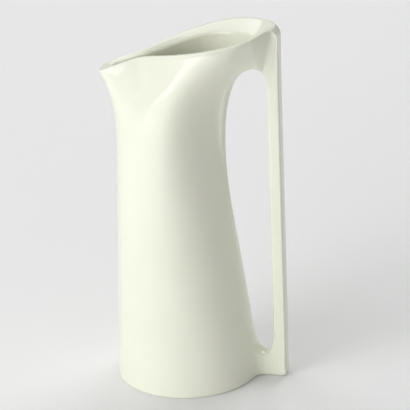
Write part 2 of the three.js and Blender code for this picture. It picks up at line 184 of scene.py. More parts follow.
# Where the surface is evened out. Each pair is where a fade starts and how long it is: away from the upper
# joint, clear of the slot, below the rim, and back from the body at the foot. FLANK_TIMES and JOINT_TIMES
# are how often it is done.
FLANK_AWAY = (4.0, 9.0)
FLANK_CLEAR = (1.5, 4.0)
FLANK_BELOW = (3.0, 8.0)
FLANK_TIMES = 400
JOINT_AWAY = (2.0, 7.0)
JOINT_CLEAR = (1.5, 5.0)
JOINT_TIMES = 14
FOOT_FROM = (BASE_RADIUS - 7.0, 4.0)
FOOT_FADE = 6.0
FOOT_PAST_JOINT = 6.0
FOOT_CLEARANCE = 0.6
FOOT_SHARE = 0.6
SHORTEST_PULL = 0.05
PULL = 0.5

SPOUT_FLARE = SPOUT_REACH - (BASE_RADIUS - FRONT_TAPER * SPOUT_HEIGHT)
ARCH_FLARE = ARCH_X - (BASE_RADIUS - BACK_TAPER * ARCH_TOP)

# Columns from the front to the back of one side; F is the fraction of the length at each column.
COLUMNS = 96
TURN = np.linspace(0.0, math.pi, COLUMNS + 1)
F = (1.0 - np.cos(TURN)) / 2.0

# Rows of the body in each stretch, going up outside and down inside. They crowd towards the arch.
EDGE_STEPS = 6
WEB_ROWS = 12
WEB_GAP = 0.3
SLOT_STEPS = 16
LOWER_ROWS = 26
HEAD_ROWS = 56
CROWN_ROWS = 27
ROW_CROWDING = 1.5
CREST_STEPS = 7
BAND_ROWS = 13
OPENING_STEPS = 8
HOLLOW_ROWS = 41
INSIDE_ROWS = 20
FLOOR_STEPS = 7
FLOOR_RINGS = (0.66, 0.33)

# Stations of the strap in its root, its bar and its foot, and steps of the bends that they follow.
ROOT_STATIONS = 64
ROOT_CROWDING = 1.25
ROOT_SHARE = 0.75
BAR_STATIONS = 60
FOOT_STATIONS = 40
INNER_STEPS = 40
CORNER_STEPS = 24
FOOT_STEPS = 32
TOE_STEPS = 12
ARCH_STEPS = 160
SLOT_SAMPLES = 60

# Small distances: two places closer than NEAR are one.
NEAR = 1e-3
CUT_NEAR = 1e-4
TINY = 1e-6
PARAMETER_STEP = 0.01


def mix(a, b, f):
    return a + (b - a) * f


def clamp01(f):
    return np.clip(f, 0.0, 1.0)


def ease(f):
    f = clamp01(f)
    return f * f * (3.0 - 2.0 * f)


# From 0 at the start of a fade to 1 at its end.
def faded(value, fade):
    start, length = fade
    return clamp01((value - start) / length)


# 0 at both ends and 1 in the middle.
def hump(f):
    return 4.0 * f * (1.0 - f)


def quarter_turns(steps):
    return [i / steps * math.pi / 2 for i in range(steps + 1)]


# A quarter of an ellipse from a, where it is level, to b, where it is upright.
def quarter(a, b, steps):
    points = []
    for turn in quarter_turns(steps):
        points.append((mix(a[0], b[0], math.sin(turn)), mix(a[1], b[1], 1.0 - math.cos(turn))))
    return points


# Profiles of the body in its middle plane, and its half width, at height z.
def front_at(z):
    rise = np.maximum((z - SPOUT_FLARE_START) / (SPOUT_HEIGHT - SPOUT_FLARE_START), 0.0)
    return -(BASE_RADIUS - FRONT_TAPER * z) - SPOUT_FLARE * rise ** SPOUT_FLARE_POWER


def plain_back_at(z):
    return BASE_RADIUS - BACK_TAPER * z


def back_at(z):
    rise = clamp01((z - ARCH_START) / (ARCH_TOP - ARCH_START))
    return plain_back_at(z) + ARCH_FLARE * (1.0 - np.sqrt(1.0 - rise ** ARCH_POWER))


def side_at(z):
    return BASE_RADIUS - SIDE_TAPER * z


# Height of the crest of the rim at the fraction f of its length.
def crest_height(f):
    return mix(SPOUT_HEIGHT, RIM_TAIL_HEIGHT, f) + RIM_ARCH * hump(f)


# Fraction of the rim's length at the place x.
def rim_fraction(x):
    return clamp01((x + SPOUT_REACH) / (RIM_TAIL_X + SPOUT_REACH))


# Half width at x of an oval from x0 to x1, with a power of its own on each side of its widest place.
def oval_half(x, x0, widest, x1, half, front_power, back_power):
    f = np.where(x < widest, (widest - x) / (widest - x0), (x - widest) / (x1 - widest))
    base = np.maximum(1.0 - np.minimum(f, 1.0) ** 2, 0.0)
    return half * np.where(x < widest, base ** front_power, base ** back_power)


# Half width of a round-ended finger at a depth behind its end.
def finger_half(depth, rounding, half):
    f = clamp01(depth / rounding)
    return half * np.sqrt(np.maximum(1.0 - (1.0 - f) ** 2, 0.0))


# Half width of the rim's crest and of the opening inside it, at the fraction f of their lengths.
def crest_half(f):
    x = mix(-SPOUT_REACH, RIM_TAIL_X, f)
    leaf = oval_half(x, BEAK_LENGTH - SPOUT_REACH, MOUTH_WIDEST_X, RIM_TAIL_X, MOUTH_HALF,
                     MOUTH_FRONT_POWER, MOUTH_BACK_POWER)
    beak = finger_half(x + SPOUT_REACH, BEAK_HALF, BEAK_HALF)
    tail = finger_half(RIM_TAIL_X - x, RIM_TAIL_ROUND, HANDLE_HALF - RIM_TAIL_DROP)
    return np.sqrt(leaf ** 2 + beak ** 2 + tail ** 2)


def opening_half(f):
    front = BAND_FRONT - SPOUT_REACH
    x = mix(front, OPENING_BACK_X, f)
    oval = oval_half(x, front + OPENING_BEAK_LENGTH, OPENING_WIDEST_X, OPENING_BACK_X, OPENING_HALF,
                     OPENING_FRONT_POWER, OPENING_BACK_POWER)
    return np.hypot(oval, finger_half(x - front, OPENING_BEAK_HALF, OPENING_BEAK_HALF))


def opening_height(f):
    x = mix(BAND_FRONT - SPOUT_REACH, OPENING_BACK_X, f)
    front = mix(BAND_DROPS[0], BAND_DROPS[1], ease(2.0 * f))
    back = mix(BAND_DROPS[1], BAND_DROPS[2], ease(2.0 * f - 1.0))
    return crest_height(rim_fraction(x)) - np.where(f < 0.5, front, back)


# How far up the head the arch ends, at the back.
ARCH_FRACTION = (ARCH_TOP - HEAD_START) / (crest_height(1.0) - HEAD_START)


# The first and the last point of a row lie in the middle plane.
def plain(points):
    points = points.copy()
    points[0, 1] = 0.0
    points[-1, 1] = 0.0
    return points


# Places of the columns between front and back, of which the last ones reach on to the back's flare.
def stretched(front, back, stretch):
    return mix(front, back, F) + stretch * F ** STRETCH_POWER


# Outline of the top of the finger slot in the middle plane, from the body over the arch to the bar.
def slot_path():
    turn = np.linspace(0.0, 1.0, ARCH_STEPS)
    arch_z = mix(HEAD_START, ARCH_TOP, 1.0 - (1.0 - turn) ** 2)
    arch = np.stack([back_at(arch_z), arch_z], axis=1)
    bend = quarter((UPPER_JOINT_X, ARCH_TOP), (HANDLE_INNER_X, BAR_TOP), INNER_STEPS)
    return np.vstack([arch, bend])


SLOT_PATH = slot_path()


# Distance of the place x, z in the middle plane from that outline.
def slot_distance(x, z):
    best = np.full(np.shape(x), JUG_HEIGHT)
    for a, b in zip(SLOT_PATH, SLOT_PATH[1:]):
        step = b - a
        t = clamp01(((x - a[0]) * step[0] + (z - a[1]) * step[1]) / (step @ step))
        best = np.minimum(best, np.hypot(x - a[0] - t * step[0], z - a[1] - t * step[1]))
    return best


# Half width of the egg-shaped section at height z, between its front and its back.
def egg_half(x, z, front, back, inset=0.0):
    height = z / JUG_HEIGHT
    widest = (front + plain_back_at(z) - inset) / 2.0 + WIDEST_SHIFT * height ** WIDEST_POWER
    front_power = ROUND_POWER + FRONT_LEAF * height ** LEAF_POWER
    back_power = ROUND_POWER + BACK_LEAF * height ** LEAF_POWER
    return oval_half(x, front, widest, back, side_at(z) - inset, front_power, back_power)


# Half width of the head at the place x and the height z: the egg, which widens into the rim's plan and
# rounds off at the edge of the slot.
def flank_half(x, z):
    f = rim_fraction(x)
    tip = front_at(np.minimum(z, SPOUT_HEIGHT))
    above = crest_height(clamp01((x - tip) / (RIM_TAIL_X - tip)))
    k = clamp01((z - HEAD_START) / (above - HEAD_START))
    rise = clamp01((z - ARCH_START) / (JUG_HEIGHT - ARCH_START))
    front = front_at(mix(HEAD_START, SPOUT_HEIGHT, k))
    plain_back = plain_back_at(z)
    egg = egg_half(x, z, front, plain_back + TAIL_SPREAD * rise ** TAIL_SPREAD_POWER)
    rim = crest_half(clamp01((x - front) / (RIM_TAIL_X - front)))
    swell = SHOULDER * ease(f / SHOULDER_FRONT) * (1.0 - f) ** SHOULDER_TAIL_POWER
    over = clamp01((z - crest_height(f) + SHOULDER_LENGTH) / SHOULDER_LENGTH)
    body = mix(egg, rim + swell, k ** RIM_GROWTH) - swell * over ** 2
    middle = (front + plain_back) / 2.0
    fin = FIN_HALF * ease((z - HEAD_START) / FIN_RISE) * ease((x - middle) / (plain_back - middle))
    edge_round = SLOT_EDGE * ease((z - HEAD_START) / SLOT_EDGE_RISE)
    edge = clamp01(slot_distance(x, z) / np.maximum(edge_round, TINY))
    return np.hypot(body, fin) * np.sqrt(1.0 - (1.0 - edge) ** 2)


# Points [x, half width, z] of each column of the head's outside, k of the way to the rim (one k a column).
def head_points(k):
    z = mix(HEAD_START, crest_height(F), k)
    z_back = mix(HEAD_START, crest_height(1.0), k)
    beyond = clamp01((k - ARCH_FRACTION) / (1.0 - ARCH_FRACTION))
    tail = mix(ARCH_X, RIM_TAIL_X, beyond ** TAIL_POWER)
    back = np.where(k <= ARCH_FRACTION, back_at(z_back), tail)
    plain_back = mix(plain_back_at(z_back), RIM_TAIL_X, k ** RIM_GROWTH)
    x = stretched(front_at(mix(HEAD_START, SPOUT_HEIGHT, k)), plain_back, back - plain_back)
    return plain(np.stack([x, flank_half(x, z), z], axis=1))


# The same for the hollow inside the head, which narrows to the opening.
def hollow_points(k):
    grow = k ** HOLLOW_GROWTH
    z_back = mix(HEAD_START, opening_height(1.0), k)
    back = np.minimum(back_at(np.minimum(z_back - WALL, ARCH_TOP)) - WALL, OPENING_BACK_X)
    plain_back = mix(plain_back_at(z_back) - WALL, OPENING_BACK_X, grow)
    front = front_at(mix(HEAD_START, SPOUT_HEIGHT, k)) + mix(WALL, BAND_FRONT, grow)
    z = mix(HEAD_START, opening_height(F), k)
    x = stretched(front, plain_back, back - plain_back)
    inside = egg_half(x, z, front, plain_back, WALL)
    return np.stack([x, mix(inside, opening_half(F), grow), z], axis=1)


# The band between the crest and the opening, b of the way in, a little crowned.
def band_points(b):
    points = mix(head_points(np.ones_like(F)), hollow_points(np.ones_like(F)), b[:, None])
    points[:, 2] += BAND_BULGE * hump(b)
    return points


# How far the web at height z reaches on behind the body, below the finger slot.
def slot_reach(z):
    rise = clamp01((BAR_BOTTOM - z) / SLOT_SPREAD)
    full = LOWER_JOINT_X + WEB_OVERRUN - back_at(np.minimum(z, SLOT_FLOOR))
    return full * (1.0 - np.sqrt(1.0 - rise ** 2))


SLOT_Z = np.linspace(SLOT_FLOOR, BAR_BOTTOM, SLOT_SAMPLES)


# Height of the floor of the finger slot at the place x, where the web rises to the body.
def slot_height(x):
    return np.interp(-x, -(back_at(SLOT_Z) + slot_reach(SLOT_Z)), SLOT_Z)


# Half width of the web at x, with the fillets that lead it out of the round body, and where they start.
def web_half(x, z, front, back, reach):
    foot_loss = 1.0 - math.sqrt(1.0 - float(clamp01(1.0 - z / FOOT_EDGE)) ** 2)
    middle = (front + back) / 2.0
    radius = (back - front) / 2.0
    arc_y = HANDLE_HALF - FOOT_EDGE * foot_loss + WEB_FILLET
    arc_x = middle + math.sqrt((radius + WEB_FILLET) ** 2 - arc_y ** 2)
    touch_x = middle + (arc_x - middle) * radius / (radius + WEB_FILLET)
    on_arc = np.clip(x, touch_x, arc_x)
    half = arc_y - np.sqrt(np.maximum(WEB_FILLET ** 2 - (arc_x - on_arc) ** 2, 0.0))
    if z > SLOT_FLOOR:
        return finger_half(back + reach - x, INNER_EDGE, half), touch_x
    near_top = clamp01(1.0 - (slot_height(x) - z) / INNER_EDGE)
    return half - INNER_EDGE * (1.0 - np.sqrt(1.0 - near_top ** 2)), touch_x


# Section of the straight lower body at height z, with the web that runs back to the handle's foot.
def lower_points(z, inset=0.0, web=True):
    front = front_at(z) + inset
    back = back_at(z) - inset
    reach = slot_reach(z) if web else 0.0
    x = stretched(front, back, reach)
    half = egg_half(x, z, front, back, inset)
    if reach > 0.0:
        fillet, touch_x = web_half(x, z, front, back, reach)
        half = np.where(x < touch_x, half, np.maximum(half, fillet))
    return np.stack([x, half, np.full_like(x, z)], axis=1)


def disc_points(radius, z):
    return np.stack([-radius * np.cos(TURN), radius * np.sin(TURN), np.full_like(TURN, z)], axis=1)


# The rows between a and b that round off the corner.
def rounded(a, corner, b, steps):
    made = []
    for i in range(1, steps):
        t = i / steps
        made.append((1 - t) ** 2 * a + 2 * t * (1 - t) * corner + t ** 2 * b)
    return made


# How much of the parameter of a column function is used up by one millimetre, near its value here.
def parameter_per_mm(points_of, here):
    step = PARAMETER_STEP if here < 0.5 else -PARAMETER_STEP
    a = points_of(np.full_like(F, here))
    b = points_of(np.full_like(F, here + step))
    return PARAMETER_STEP / np.linalg.norm(b - a, axis=1)


# Rows of the underside, from near its middle out to the foot ring.
def underside_rows():
    inner_ring = BASE_RADIUS - FOOT_RING
    rows = [disc_points(radius, FOOT_RECESS) for radius in RECESS_RINGS]
    return rows + [disc_points(inner_ring + beyond, z) for beyond, z in RECESS_STEP]


# Rows of the lower body, from its rounded bottom edge past the web to the head.
def lower_rows():
    rows = []
    for turn in quarter_turns(EDGE_STEPS):
        rows.append(lower_points(BASE_EDGE * (1.0 - math.cos(turn)), BASE_EDGE * (1.0 - math.sin(turn))))
    heights = list(np.linspace(BASE_EDGE, SLOT_FLOOR - WEB_GAP, WEB_ROWS)[1:])
    heights += [SLOT_FLOOR + SLOT_SPREAD * (1.0 - math.cos(turn)) for turn in quarter_turns(SLOT_STEPS)[1:]]
    heights += list(np.linspace(BAR_BOTTOM, HEAD_START, LOWER_ROWS)[1:-1])
    return rows + [lower_points(z) for z in heights]


# Reach of the rounding of the crest at each column.
def crest_reach():
    reach = np.full_like(F, CREST_ROUNDS[0])
    for size, change in zip(CREST_ROUNDS[1:], CREST_CHANGES):
        start, length = change
        reach = mix(reach, size, ease((F - start) / length))
    return reach


# Rows of the head over the crest to the edge of the opening, and which of them begin and end the crest.
def head_rows():
    reach = crest_reach()
    k_end = 1.0 - reach * parameter_per_mm(head_points, 1.0)
    rows = []
    for t in np.linspace(0.0, 1.0, HEAD_ROWS):
        rows.append(head_points(np.full_like(F, ARCH_FRACTION * (1.0 - (1.0 - t) ** ROW_CROWDING))))
    for t in np.linspace(0.0, 1.0, CROWN_ROWS)[1:]:
        rows.append(head_points(mix(ARCH_FRACTION, k_end, t ** ROW_CROWDING)))
    crest_from = len(rows) - 1
    b_start = np.minimum(reach * parameter_per_mm(band_points, 0.0), CREST_LIMIT)
    b_stop = 1.0 - OPENING_ROUND * parameter_per_mm(band_points, 1.0)
    rows += rounded(rows[-1], head_points(np.ones_like(F)), band_points(b_start), CREST_STEPS)
    crest_to = len(rows)
    rows += [band_points(mix(b_start, b_stop, t)) for t in np.linspace(0.0, 1.0, BAND_ROWS)]
    return rows, crest_from, crest_to


# Rows of the inside, from the last row of the band round the edge of the opening down to the floor.
def inside_rows(band_end):
    h_start = 1.0 - OPENING_ROUND * parameter_per_mm(hollow_points, 1.0)
    rows = rounded(band_end, hollow_points(np.ones_like(F)), hollow_points(h_start), OPENING_STEPS)
    rows += [hollow_points(h_start * (1.0 - t)) for t in np.linspace(0.0, 1.0, HOLLOW_ROWS)]
    corner_top = FLOOR + FLOOR_CORNER
    rows += [lower_points(z, WALL, web=False) for z in np.linspace(HEAD_START, corner_top, INSIDE_ROWS)[1:]]
    for turn in quarter_turns(FLOOR_STEPS)[1:]:
        ring = lower_points(corner_top, WALL + FLOOR_CORNER * (1.0 - math.cos(turn)), web=False)
        ring[:, 2] = corner_top - FLOOR_CORNER * math.sin(turn)
        rows.append(ring)
    floor_edge = rows[-1]
    return rows + [floor_edge * (share, share, 1.0) for share in FLOOR_RINGS]


# All rows of the body, from the middle of its underside over the rim to the middle of its inner floor, and
# the numbers of the rows between which it is bare and its crest rounds over.
def body_rows():
    underside = underside_rows()
    outside = underside + lower_rows()
    head, crest_from, crest_to = head_rows()
    rows = outside + head + inside_rows(head[-1])
    bare = (len(underside) - 2, len(underside) + 1)
    crest = (len(outside) + crest_from, len(outside) + crest_to)
    return [plain(row) for row in rows], bare, crest


# A closed surface of quads through the rows, with a fan at each end. The layer row keeps its row number.
def body_mesh(rows):
    work = bmesh.new()
    row_layer = work.verts.layers.float.new("row")
    rings = []
    for number, row in enumerate(rows):
        near = [(x, -y, z) for x, y, z in row]
        far = [(x, y, z) for x, y, z in row[1:-1][::-1]]
        ring = [work.verts.new(p) for p in near + far]
        for vert in ring:
            vert[row_layer] = number
        rings.append(ring)
    count = len(rings[0])
    for lower, upper in zip(rings, rings[1:]):
        for i in range(count):
            j = (i + 1) % count
            work.faces.new((lower[i], lower[j], upper[j], upper[i]))
    for ring, flip in ((rings[0], True), (rings[-1], False)):
        middle = sum((v.co for v in ring), Vector()) / count
        centre = work.verts.new(middle)
        centre[row_layer] = ring[0][row_layer]
        for i in range(count):
            j = (i + 1) % count
            order = (ring[j], ring[i], centre) if flip else (ring[i], ring[j], centre)
            work.faces.new(order)
    return work, row_layer


# Cut off what lies beyond x, between two heights.
def cut_away(work, x, z_low, z_high):
    faces = [f for f in work.faces if z_low < f.calc_center_median().z < z_high]
    parts = dict.fromkeys(faces)
    for face in faces:
        parts.update(dict.fromkeys(face.edges))
        parts.update(dict.fromkeys(face.verts))
    bmesh.ops.bisect_plane(work, geom=list(parts), dist=CUT_NEAR, plane_co=(x, 0, 0), plane_no=(1, 0, 0),
                           clear_outer=True)


# The open edge of the cut at x, as vertices in order from the lowest middle point along the near side.
def cut_loop(work, x):
    edges = [e for e in work.edges if e.is_boundary and all(abs(v.co.x - x) < NEAR for v in e.verts)]
    links = {}
    for edge in edges:
        a, b = edge.verts
        links.setdefault(a, []).append(b)
        links.setdefault(b, []).append(a)
    start = min((v for v in links if abs(v.co.y) < NEAR), key=lambda v: v.co.z)
    ring = [start, min(links[start], key=lambda v: v.co.y)]
    while True:
        step = [v for v in links[ring[-1]] if v is not ring[-2]][0]
        if step is start:
            return ring
        ring.append(step)


# Half outline of the strap as (depth, half width) at the fraction q of each of its stretches: the flank,
# the edge and the back.
def strap_outline(stretch, q, depth, outer_round):
    if stretch == "edge":
        turn = q * math.pi / 2
        return (depth - outer_round * (1.0 - math.sin(turn)),
                HANDLE_HALF - outer_round * (1.0 - math.cos(turn)))
    if stretch == "back":
        return depth, (HANDLE_HALF - outer_round) * (1.0 - q)
    face = HANDLE_HALF - INNER_EDGE
    arc = INNER_EDGE * math.pi / 2
    side = depth - INNER_EDGE - outer_round
    s = q * (face + arc + side)
    if s < face:
        return 0.0, s
    if s < face + arc:
        turn = (s - face) / INNER_EDGE
        return INNER_EDGE * (1.0 - math.cos(turn)), face + INNER_EDGE * math.sin(turn)
    return INNER_EDGE + s - face - arc, HANDLE_HALF


# The place at the fraction f of the length of a chain of points.
def along(chain, f):
    chain = np.array(chain, float)
    lengths = np.concatenate([[0.0], np.cumsum(np.linalg.norm(np.diff(chain, axis=0), axis=1))])
    return np.array([np.interp(f * lengths[-1], lengths, chain[:, axis]) for axis in (0, 1)])


# Where each vertex of the joint's loop goes on the strap: its stretch and the fraction of it, its side, and
# its height and half width on the joint, the height as a fraction. The loop's lowest and highest z follow.
def loop_marks(loop, row_layer, crest):
    z_low = min(v.co.z for v in loop)
    z_high = max(v.co.z for v in loop)
    top = max((i for i, v in enumerate(loop) if abs(v.co.y) < NEAR), key=lambda i: loop[i].co.z)
    marks = [None] * len(loop)
    for part in (list(range(top + 1)), [0] + list(range(len(loop) - 1, top - 1, -1))):
        spots = [loop[i].co for i in part]
        run = [0.0]
        for a, b in zip(spots, spots[1:]):
            run.append(run[-1] + (b - a).length)
        rows = [loop[i][row_layer] for i in part]
        edge_from = next(n for n, row in enumerate(rows) if row >= crest[0])
        edge_to = max(n for n, row in enumerate(rows) if row <= crest[1] and n >= edge_from)
        for n, i in enumerate(part):
            if n <= edge_from:
                stretch, q = "flank", run[n] / run[edge_from]
            elif n <= edge_to:
                stretch, q = "edge", (run[n] - run[edge_from]) / (run[edge_to] - run[edge_from])
            else:
                stretch, q = "back", (run[n] - run[edge_to]) / (run[-1] - run[edge_to])
            side = -1.0 if spots[n].y < 0 else 1.0
            v = (spots[n].z - z_low) / (z_high - z_low)
            marks[i] = (stretch, q, side, v, abs(spots[n].y))
    return marks, z_low, z_high


# A station is a section of the strap from its inner to its outer place. Its bar says how far the joint's
# form has turned into the plain bar, its ratio how wide it is as a share of the joint, its dish how much of
# the joint's hollow its back keeps, and its round how large the rounding of its outer edges is.
PLAIN_BAR = {"bar": 1.0, "ratio": 1.0, "dish": 0.0, "round": OUTER_EDGE}


# Stations of the strap's root, from the upper joint round the top corner to the bar.
def root_stations(z_low, z_high, widest):
    inner_chain = quarter((UPPER_JOINT_X, z_low), (HANDLE_INNER_X, BAR_TOP), INNER_STEPS)
    corner_start = (HANDLE_REACH - CORNER_ROUND, JUG_HEIGHT)
    corner_end = (HANDLE_REACH, JUG_HEIGHT - CORNER_ROUND)
    corner = quarter(corner_start, corner_end, CORNER_STEPS)
    outer_chain = [(UPPER_JOINT_X, z_high)] + corner + [(HANDLE_REACH, BAR_TOP)]
    stations = []
    for i in range(1, ROOT_STATIONS + 1):
        f = (i / ROOT_STATIONS) ** ROOT_CROWDING
        outer = along(outer_chain, f)
        leaf = float(crest_half(np.array([rim_fraction(outer[0])]))[0])
        stations.append({
            "inner": along(inner_chain, f), "outer": outer, "bar": float(ease(f / ROOT_SHARE)),
            "ratio": max(leaf, HANDLE_HALF) / widest, "round": OUTER_EDGE,
            "dish": float(clamp01((RIM_TAIL_X - outer[0]) / (RIM_TAIL_X - UPPER_JOINT_X))),
        })
    return stations


# Stations of the straight bar, going down.
def bar_stations():
    stations = []
    for z in np.linspace(BAR_TOP, BAR_BOTTOM, BAR_STATIONS)[1:-1]:
        inner = np.array([HANDLE_INNER_X, z])
        outer = np.array([HANDLE_REACH, z])
        stations.append({**PLAIN_BAR, "inner": inner, "outer": outer})
    return stations


# Stations of the foot, from the bar round to the lower joint.
def foot_stations():
    inner_chain = quarter((LOWER_JOINT_X, SLOT_FLOOR), (HANDLE_INNER_X, BAR_BOTTOM), FOOT_STEPS)[::-1]
    toe = quarter((HANDLE_REACH - TOE_ROUND, 0.0), (HANDLE_REACH, TOE_ROUND), TOE_STEPS)[::-1]
    outer_chain = [(HANDLE_REACH, BAR_BOTTOM)] + toe + [(LOWER_JOINT_X, 0.0)]
    stations = []
    for i in range(FOOT_STATIONS + 1):
        f = i / FOOT_STATIONS
        rounding = mix(OUTER_EDGE, FOOT_EDGE, float(ease(FOOT_EDGE_RATE * f)))
        stations.append({**PLAIN_BAR, "inner": along(inner_chain, f), "outer": along(outer_chain, f),
                         "round": rounding})
    return stations


# One ring of points of the strap, one for each mark.
def strap_ring(station, marks, widest):
    inner, outer = station["inner"], station["outer"]
    depth = float(np.linalg.norm(outer - inner))
    ring = []
    for stretch, q, side, v, y in marks:
        depth_on_bar, y_bar = strap_outline(stretch, q, depth, station["round"])
        narrow = mix(1.0, station["ratio"], min(y / widest, 1.0))
        if stretch == "back":
            narrow = station["ratio"]
            v = mix(1.0, v, station["dish"])
        place = mix(v, depth_on_bar / depth, station["bar"])
        half = mix(y * narrow, y_bar, station["bar"])
        x, z = mix(inner, outer, place)
        ring.append((x, side * half, z))
    return ring


# The pieces that the surface is cut into: the name, the node that it replaces and its material slot. The
# numbers after it are places in this list, and of a material among a piece's two.
PIECES = (
    ("jug_body", "body", "glaze"),
    ("upper_joint", "upper_slip_joint", "slip"),
    ("strap_handle", "handle", "glaze"),
    ("lower_joint", "lower_slip_joint", "slip"),
)
UPPER_JOINT, STRAP, LOWER_JOINT = 1, 2, 3
GLAZED, BARE = 0, 1


# The whole surface as one mesh: its points and faces, each face's piece and material, its edges, and which
# points lie on an open edge.
def jug_surface():
    rows, bare, crest = body_rows()
    work, row_layer = body_mesh(rows)
    cut_away(work, UPPER_JOINT_X, JUG_HEIGHT / 2, JUG_HEIGHT * 2)
    cut_away(work, LOWER_JOINT_X, -1.0, JUG_HEIGHT / 4)
    loop = cut_loop(work, UPPER_JOINT_X)
    marks, z_low, z_high = loop_marks(loop, row_layer, crest)
    widest = max(mark[4] for mark in marks)
    stations = root_stations(z_low, z_high, widest) + bar_stations() + foot_stations()
    piece_layer = work.faces.layers.int.new("piece")
    for face in work.faces:
        middle = sum(v[row_layer] for v in face.verts) / len(face.verts)
        face.material_index = BARE if bare[0] < middle < bare[1] else GLAZED
    previous = loop
    for station in stations:
        ring = [work.verts.new(p) for p in strap_ring(station, marks, widest)]
        piece = STRAP
        if station["inner"][0] < UPPER_JOINT_X + SLIP and station["inner"][1] > JUG_HEIGHT / 2:
            piece = UPPER_JOINT
        if station is stations[-1]:
            piece = LOWER_JOINT
        for i in range(len(ring)):
            j = (i + 1) % len(ring)
            face = work.faces.new((previous[i], previous[j], ring[j], ring[i]))
            face[piece_layer] = piece
        previous = ring
    bmesh.ops.recalc_face_normals(work, faces=list(work.faces))
    work.verts.index_update()
    points = np.array([v.co for v in work.verts])
    faces = [[v.index for v in f.verts] for f in work.faces]
    pieces = [f[piece_layer] for f in work.faces]
    slots = [f.material_index for f in work.faces]
    edges = np.array([[v.index for v in e.verts] for e in work.edges])
    fixed = np.array([v.is_boundary for v in work.verts])
    work.free()
    return points, faces, pieces, slots, edges, fixed


# Draw each point towards its neighbours, the nearest ones most, by its weight and a number of times over.
def evened(values, points, edges, weight, times):
    edges = edges[(weight[edges] > 0.0).any(axis=1)]
    lengths = np.linalg.norm(points[edges[:, 0]] - points[edges[:, 1]], axis=1)
    pull = 1.0 / np.maximum(lengths, SHORTEST_PULL)
    share = np.bincount(edges.ravel(), np.repeat(pull, 2), len(values))
    share = np.maximum(share, TINY)[:, None]
    for _ in range(times):
        total = np.zeros_like(values)
        np.add.at(total, edges[:, 0], pull[:, None] * values[edges[:, 1]])
        np.add.at(total, edges[:, 1], pull[:, None] * values[edges[:, 0]])
        values = values + PULL * weight[:, None] * (total / share - values)
    return values


# Even out the surface where the handle runs into the body, so that the glaze flows over the joints: the
# flank in its width only, well clear of the rim and the slot, and then the joints a little all round.
def flow_together(points, edges, fixed):
    x, z = points[:, 0], points[:, 2]
    away = np.abs(x - UPPER_JOINT_X)
    clear = slot_distance(x, z)
    below = np.minimum(crest_height(rim_fraction(x)) - z, HANDLE_REACH - x)
    flank = (1.0 - faded(away, FLANK_AWAY)) * (z > ARCH_TOP)
    flank *= faded(clear, FLANK_CLEAR) * faded(below, FLANK_BELOW)
    upper = (1.0 - faded(away, JOINT_AWAY)) * faded(clear, JOINT_CLEAR) * (z > ARCH_TOP)
    lower = faded(x, FOOT_FROM) * clamp01((BAR_BOTTOM + FOOT_FADE - z) / FOOT_FADE) * (z > FOOT_CLEARANCE)
    lower *= x < LOWER_JOINT_X + FOOT_PAST_JOINT
    joints = np.maximum(upper, FOOT_SHARE * lower)
    for weight in (flank, joints):
        weight[fixed] = 0.0
    points = points.copy()
    points[:, 1:2] = evened(points[:, 1:2], points, edges, flank, FLANK_TIMES)
    return evened(points, points, edges, joints, JOINT_TIMES)


# Round the top of the finger slot towards the bar: its roof comes down from the crown on, fading out above
# and below.
def round_slot(points):
    points = points.copy()
    x, z = points[:, 0], points[:, 2]
    fade_above = 1.0 - ease((z - ARCH_TOP) / CROWN_FADE_ABOVE)
    fade_below = ease((z - ARCH_TOP + CROWN_FADE_FOOT) / CROWN_FADE_BELOW)
    points[:, 2] -= CROWN_DROP * ease((x - CROWN_X) / CROWN_LENGTH) * (fade_above * fade_below)
    return points


# The open edges of some faces as rings of point numbers, each in the order of a face that closes it.
def open_rings(faces):
    sides = dict.fromkeys(side for face in faces for side in zip(face, face[1:] + face[:1]))
    open_next = {b: a for a, b in sides if (b, a) not in sides}
    rings = []
    while open_next:
        start, step = next(iter(open_next.items()))
        ring = [start]
        del open_next[start]
        while step != start:
            ring.append(step)
            step = open_next.pop(step)
        rings.append(ring)
    return rings


# One piece of the surface as an object of its own: its faces, and flat lids where it meets the next piece.
def make_piece(name, number, surface, normals, materials, node):
    points, faces, pieces, slots = surface
    chosen = [i for i, piece in enumerate(pieces) if piece == number]
    used = sorted({v for i in chosen for v in faces[i]})
    place = {v: n for n, v in enumerate(used)}
    mesh_points = [tuple(MM * c for c in (points[v] + (AXIS_X, 0.0, 0.0))) for v in used]
    mesh_faces = [[place[v] for v in faces[i]] for i in chosen]
    loop_normals = [normals[v] for i in chosen for v in faces[i]]
    mesh_slots = [slots[i] for i in chosen]
    for ring in open_rings(mesh_faces):
        spots = [Vector(mesh_points[v]) for v in ring]
        normal = sum((a.cross(b) for a, b in zip(spots, spots[1:] + spots[:1])), Vector()).normalized()
        mesh_faces.append(ring)
        mesh_slots.append(GLAZED)
        loop_normals.extend([normal] * len(ring))
    mesh = bpy.data.meshes.new(name)
    mesh.from_pydata(mesh_points, [], mesh_faces)
    for material in materials:
        mesh.materials.append(material)
    mesh.polygons.foreach_set("material_index", mesh_slots)
    mesh.polygons.foreach_set("use_smooth", [True] * len(mesh.polygons))
    mesh.update()
    mesh.normals_split_custom_set([tuple(n) for n in loop_normals])
    piece = bpy.data.objects.new(name, mesh)
    bpy.context.scene.collection.objects.link(piece)
    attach(piece, "root")
    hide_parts(node)
    return piece


